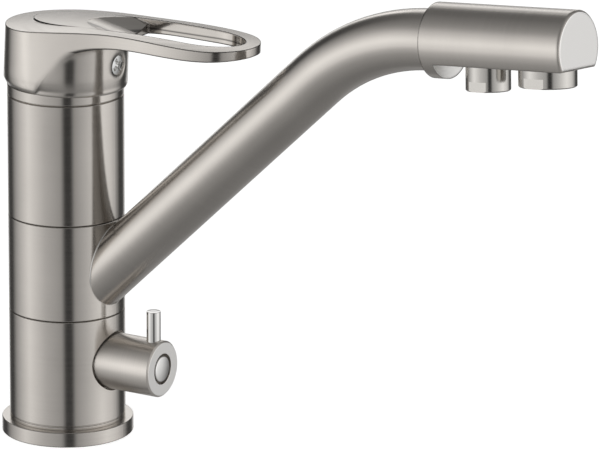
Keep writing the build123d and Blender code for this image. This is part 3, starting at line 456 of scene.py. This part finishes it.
headLook = {
    "axis": (0.995, -0.0469, 0.0879),
    "middle": (0.2212, -0.01043, 0.2030),
    "rounding": 0.0014,
}
# the knob's nickel is a lighter copy of the column's, its colour raised by a quarter: painted light
knobLook = {
    "axis": (1, 0, 0),
    "middle": (0, 0, 0.0345),
    "roughness": 0.32,
    "paintedLightGain": 1.25,
}
finishes = {
    "columnNickel": brushedNickel("columnNickel"),
    "pipeNickel": brushedNickel("pipeNickel", pipeAxis),
    "headNickel": brushedNickel("headNickel", satin=True, **headLook),
    "knobNickel": brushedNickel("knobNickel", satin=True, **knobLook),
    "handleNickel": brushedNickel("handleNickel", edge=handleEdge),
    # the root bead's nickel is lighter than the column's: a painted highlight along the pipe's root
    "beadHighlightNickel": plainLook("beadHighlightNickel", metalGrain, (0.8, 0.78, 0.75), 0.15),
    "satinChrome": plainLook("satinChrome", metalGrain, (0.57, 0.55, 0.52), 0.17),
    "pinChrome": plainLook("pinChrome", metalGrain, (0.72, 0.71, 0.69), 0.07),
    "buttonChrome": plainLook("buttonChrome", metalGrain, (0.9, 0.89, 0.87), 0.3),
    "chrome": plainLook("polishedChrome", metalGrain, (0.86, 0.86, 0.85), 0.07),
    "brass": plainLook("machinedBrass", metalGrain, (0.78, 0.6, 0.3), 0.3),
    "steel": plainLook("zincSteel", metalGrain, (0.6, 0.6, 0.6), 0.35),
    "rubber": plainLook("blackRubber", matterGrain, (0.03, 0.03, 0.03), 0.7),
    "whitePlastic": plainLook("whitePlastic", matterGrain, (0.82, 0.82, 0.8), 0.4),
    "greyPlastic": plainLook("greyPlastic", matterGrain, (0.3, 0.31, 0.33), 0.45),
    "ceramic": plainLook("lappedCeramic", matterGrain, (0.88, 0.88, 0.86), 0.15),
    "clearTube": plainLook("milkyTube", matterGrain, (0.85, 0.88, 0.9), 0.35),
}
wearing = {
    "columnNickel": "base_flange lower_body swivel_ring upper_body cover_collar",
    "pipeNickel": "spout_pipe",
    "headNickel": "spout_head",
    "handleNickel": "handle_lever",
    "knobNickel": "valve_knob",
    "chrome": "handle_screw valve_lever_pin valve_knob_cap",
    "satinChrome": "main_aerator_housing filter_aerator_housing",
    "brass": "inner_core cartridge_nut valve_headwork valve_stem",
    "steel": "pivot_pin cartridge_spindle valve_knob_screw fixing_stud fixing_plate fixing_nut",
    "rubber": "base_gasket core_o_rings cartridge_seals valve_headwork_seal valve_stem_seal filter_tube_seal "
              "head_o_ring main_aerator_washer filter_aerator_washer fixing_washer",
    "whitePlastic": "lower_glide_ring upper_glide_ring cartridge_base cartridge_housing main_aerator_insert "
                    "filter_aerator_insert",
    "greyPlastic": "disc_carrier cartridge_rotor",
    "ceramic": "fixed_disc moving_disc valve_fixed_disc valve_moving_disc",
    "clearTube": "filter_tube",
}
for finish, names in wearing.items():
    for name in names.split():
        nodes[name].material_slots[0].material = finishes[finish]
print("finishes on all nodes")

# faces that meet at more than this angle keep a sharp edge
sharpAngle = 38


def roundTurn(steps):
    return np.linspace(0, 2 * np.pi, steps, endpoint=False)


def addTurned(name, grid, material, body, replaced=()):
    # rows of points round an axis become rings of faces; the first and last rows are single points
    count, steps = grid.shape[0] - 2, grid.shape[1]
    points = np.concatenate([grid[:1, 0], grid[1:-1].reshape(-1, 3), grid[-1:, 0]])
    ring = 1 + np.arange(count * steps).reshape(count, steps)
    after = np.roll(ring, -1, 1)
    quads = np.stack([ring[:-1], ring[1:], after[1:], after[:-1]], -1).reshape(-1, 4)
    start = np.stack([np.zeros(steps, int), ring[0], after[0]], -1)
    end = np.stack([np.full(steps, len(points) - 1), after[-1], ring[-1]], -1)
    faces = quads.tolist() + np.stack([start, end], 1).reshape(-1, 3).tolist()
    addPiece(name, points, faces, material, body, replaced)


def addLooped(name, grid, material, body, replaced=()):
    # a grid that closes on itself both ways, like a ring
    rows, steps = grid.shape[:2]
    index = np.arange(rows * steps).reshape(rows, steps)
    right, ahead = np.roll(index, -1, 1), np.roll(index, -1, 0)
    across = np.roll(ahead, -1, 1)
    faces = np.stack([index, right, across, ahead], -1).reshape(-1, 4).tolist()
    addPiece(name, grid.reshape(-1, 3), faces, material, body, replaced)


def addPiece(name, points, faces, material, body, replaced):
    mesh = bpy.data.meshes.new(name)
    mesh.from_pydata(points, [], faces)
    mesh.shade_smooth()
    mesh.set_sharp_from_angle(angle=radians(sharpAngle))
    mesh.materials.append(material)
    piece = bpy.data.objects.new(name, mesh)
    bpy.context.scene.collection.objects.link(piece)
    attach(piece, body)
    if replaced:
        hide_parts(*replaced)


# clamp screw: head, seat and threaded shank turned round one axis, with a cross recess sunk into the head
screw = {
    "pivot": 0.145,
    "tilt": 2.5,
    "rise": 0.0218,
    "tail": 0.00405,
    "tailShare": 0.5,
    "face": 0.0257,
    "faceRows": 44,
    "headRadius": 0.0044,
    "headLength": 0.004,
    "headRound": 0.0005,
    "roundFrom": 0.2,
    "roundRows": 6,
    "dome": 0.0004,
    "shankRadius": 0.0025,
    "shankGap": 0.0002,
    "shankRows": 260,
    "pitch": 0.0008,
    "threadDepth": 0.0003,
    "crossReach": 0.003,
    "crossWidth": 0.0015,
    "crossDepth": 0.0024,
    "crossRise": 0.5,
    "crossTurn": 32,
    "sideSoftness": 0.0002,
    "endSoftness": 0.0005,
    "steps": 120,
}


def screwGrid():
    turn = roundTurn(screw["steps"])
    radius, face, around = screw["headRadius"], screw["face"], screw["headRound"]
    shankRadius, tail, seat = screw["shankRadius"], screw["tail"], face - screw["headLength"]
    tip = shankRadius * screw["tailShare"]
    # distance from the axis and place along it: face, rounded rim, head's side, seat, shank and tail
    flat = radius * np.linspace(0, 1 - around / radius, screw["faceRows"])
    bend = np.linspace(screw["roundFrom"], np.pi / 2, screw["roundRows"])
    shank = np.linspace(seat - screw["shankGap"], tail, screw["shankRows"])
    reach = np.concatenate([
        flat, radius - around * (1 - np.sin(bend)), [radius, shankRadius], 0 * shank + shankRadius, [tip, 0],
    ])[:, None] + 0 * turn
    along = np.concatenate([
        0 * flat + face, face - around * (1 - np.cos(bend)), [seat, seat], shank, [tail, tail],
    ])[:, None] + 0 * turn
    # the thread: the shank's radius swings once per pitch as it goes round and along
    threaded = (along < seat - screw["shankGap"] / 2) & (reach > tip)
    ripple = 0.5 - 0.5 * np.cos(2 * np.pi * along / screw["pitch"] - turn)
    reach = np.where(threaded, reach - screw["threadDepth"] * ripple, reach)
    # the head's dome, and the cross: two arms, deepest in the middle
    aside, upward = reach * np.cos(turn), reach * np.sin(turn)
    lean = radians(screw["crossTurn"])
    first = aside * cos(lean) + upward * sin(lean)
    second = upward * cos(lean) - aside * sin(lean)
    depth = np.zeros_like(reach)
    for length, width in ((first, second), (second, first)):
        far = np.abs(length)
        inside = np.clip((screw["crossWidth"] / 2 - np.abs(width)) / screw["sideSoftness"] + 0.5, 0, 1)
        inside *= np.clip((screw["crossReach"] - far) / screw["endSoftness"] + 0.5, 0, 1)
        sunk = screw["crossDepth"] * (1 - screw["crossRise"] * far / screw["crossReach"])
        depth = np.maximum(depth, inside * sunk)
    onFace = along > face - around
    along = np.where(onFace, along - screw["dome"] * (reach / radius) ** 2 - depth, along)
    tilt = radians(screw["tilt"])
    forward, sideways = np.array((cos(tilt), 0, -sin(tilt))), np.array((0, 1, 0))
    up = np.array((sin(tilt), 0, cos(tilt)))
    middle = np.array((0, 0, screw["pivot"])) + up * screw["rise"]
    return middle + along[..., None] * forward + aside[..., None] * sideways + upward[..., None] * up


addTurned("clamp_screw", screwGrid(), finishes["chrome"], "handle", ["handle_screw"])
print("screw made")

# knob button: a shallow dome with a rounded rim, turned round the valve's axis
button = {
    "axisHeight": 0.0345,
    "face": 0.0487,
    "crown": 0.0004,
    "domeRows": 16,
    "radius": 0.00565,
    "round": 0.0006,
    "roundFrom": 0.25,
    "roundRows": 7,
    "length": 0.0043,
    "wall": 0.001,
    "steps": 96,
}


def buttonGrid():
    turn = roundTurn(button["steps"])
    radius, face, around = button["radius"], button["face"], button["round"]
    inner, bore = radius - around, radius - button["wall"]
    tail, ceiling = face - button["length"], face - button["wall"]
    # distance from the axis and place along it: dome, rounded rim, side, then the hollow back
    dome = np.linspace(0, inner, button["domeRows"])
    bend = np.linspace(button["roundFrom"], np.pi / 2, button["roundRows"])
    reach = np.concatenate([dome, inner + around * np.sin(bend), [radius, bore, bore, 0]])[:, None] + 0 * turn
    along = np.concatenate([
        face + button["crown"] * (1 - (dome / inner) ** 2), face - around * (1 - np.cos(bend)),
        [tail, tail, ceiling, ceiling],
    ])[:, None] + 0 * turn
    return np.stack([along, reach * np.cos(turn), button["axisHeight"] + reach * np.sin(turn)], -1)


addTurned("valve_button", buttonGrid(), finishes["buttonChrome"], "valve", ["valve_knob_cap"])
print("button made")

# knob pin: a plain round pin with a finely broken top edge, turned round its upright axis
pin = {
    "x": 0.0441,
    "radius": 0.00304,
    "innerShare": 0.5,
    "taller": 0.0005,
    "round": 0.0002,
    "roundRows": 5,
    "steps": 72,
}


def pinGrid():
    foot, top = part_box("valve_lever_pin")[0][2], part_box("valve_lever_pin")[1][2] + pin["taller"]
    turn = roundTurn(pin["steps"])
    radius, around = pin["radius"], pin["round"]
    inner = radius * pin["innerShare"]
    # distance from the axis and height: top, broken edge, side, then the foot
    bend = np.linspace(0, np.pi / 2, pin["roundRows"])
    reach = np.concatenate([
        [0, inner], radius - around * (1 - np.sin(bend)), [radius, inner, 0],
    ])[:, None] + 0 * turn
    height = np.concatenate([
        [top, top], top - around * (1 - np.cos(bend)), [foot, foot, foot],
    ])[:, None] + 0 * turn
    return np.stack([pin["x"] + reach * np.cos(turn), reach * np.sin(turn), height], -1)


addTurned("valve_pin", pinGrid(), finishes["pinChrome"], "valve", ["valve_lever_pin"])
print("pin made")

# fixing stud: a threaded rod, its radius swinging once per pitch as it goes round and along
stud = {
    "pitch": 0.00125,
    "threadDepth": 0.00065,
    "perPitch": 10,
    "endShare": 0.8,
    "steps": 48,
}


def studGrid():
    low, high = (np.array(corner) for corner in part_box("fixing_stud"))
    middle, radius = (low + high) / 2, (high - low)[0] / 2
    turn = roundTurn(stud["steps"])
    rows = int((high - low)[2] / stud["pitch"] * stud["perPitch"])
    height = np.linspace(high[2], low[2], rows)[:, None] + 0 * turn
    ripple = 0.5 - 0.5 * np.cos(2 * np.pi * height / stud["pitch"] - turn)
    reach = radius - stud["threadDepth"] * ripple
    # each end is flat: a point in the middle, then a smaller ring at the same height
    reach[[0, -1]] = 0
    reach[[1, -2]] *= stud["endShare"]
    height[[1, -2]] = height[[0, -1]]
    return np.stack([middle[0] + reach * np.cos(turn), middle[1] + reach * np.sin(turn), height], -1)


addTurned("clamp_stud", studGrid(), finishes["steel"], "column", ["fixing_stud"])
print("stud made")

# root bead: a thin rolled edge where the pipe leaves the ring, a tube along the line where the two meet
bead = {
    "foot": 0.0541,
    "pipeRadius": 0.01275,
    "ringRadius": 0.025,
    "radius": 0.00042,
    "thin": 0.2,
    "thinBelow": -0.4,
    "fullAbove": 0.05,
    "steps": 220,
    "sides": 12,
}


def beadGrid():
    rise, turn = radians(pipe["rise"]), radians(pipe["turn"])
    ahead = np.array((cos(rise) * cos(turn), cos(rise) * sin(turn), sin(rise)))
    aside = np.array((-sin(turn), cos(turn), 0))
    above = np.cross(ahead, aside)
    around = roundTurn(bead["steps"])[:, None]
    outPipe = np.cos(around) * aside + np.sin(around) * above
    start = np.array((0, 0, bead["foot"])) + bead["pipeRadius"] * outPipe
    # how far along the pipe the ring's radius is reached: the larger root of a square equation
    a = cos(rise) ** 2
    b = start[:, :2] @ ahead[:2]
    c = (start[:, :2] ** 2).sum(1) - bead["ringRadius"] ** 2
    line = start + ((np.sqrt(b * b - a * c) - b) / a)[:, None] * ahead
    outRing = line * (1, 1, 0) / bead["ringRadius"]
    # the tube's circle lies square to the line, from the way out of both rounds
    forward = np.roll(line, -1, 0) - np.roll(line, 1, 0)
    forward /= np.linalg.norm(forward, axis=1)[:, None]
    outward = outPipe + outRing
    outward -= (outward * forward).sum(1)[:, None] * forward
    outward /= np.linalg.norm(outward, axis=1)[:, None]
    across = np.cross(forward, outward)
    swing = roundTurn(bead["sides"])[None, :, None]
    spread = np.cos(swing) * outward[:, None] + np.sin(swing) * across[:, None]
    # full thickness on the upper side, easing to thin below
    share = np.clip((np.sin(around) - bead["thinBelow"]) / (bead["fullAbove"] - bead["thinBelow"]), 0, 1)
    radius = bead["radius"] * (bead["thin"] + (1 - bead["thin"]) * share * share * (3 - 2 * share))
    return line[:, None] + radius[:, None] * spread


addLooped("root_bead", beadGrid(), finishes["beadHighlightNickel"], "spout")
print("bead made")

bpy.context.scene.view_settings.view_transform = "Standard"
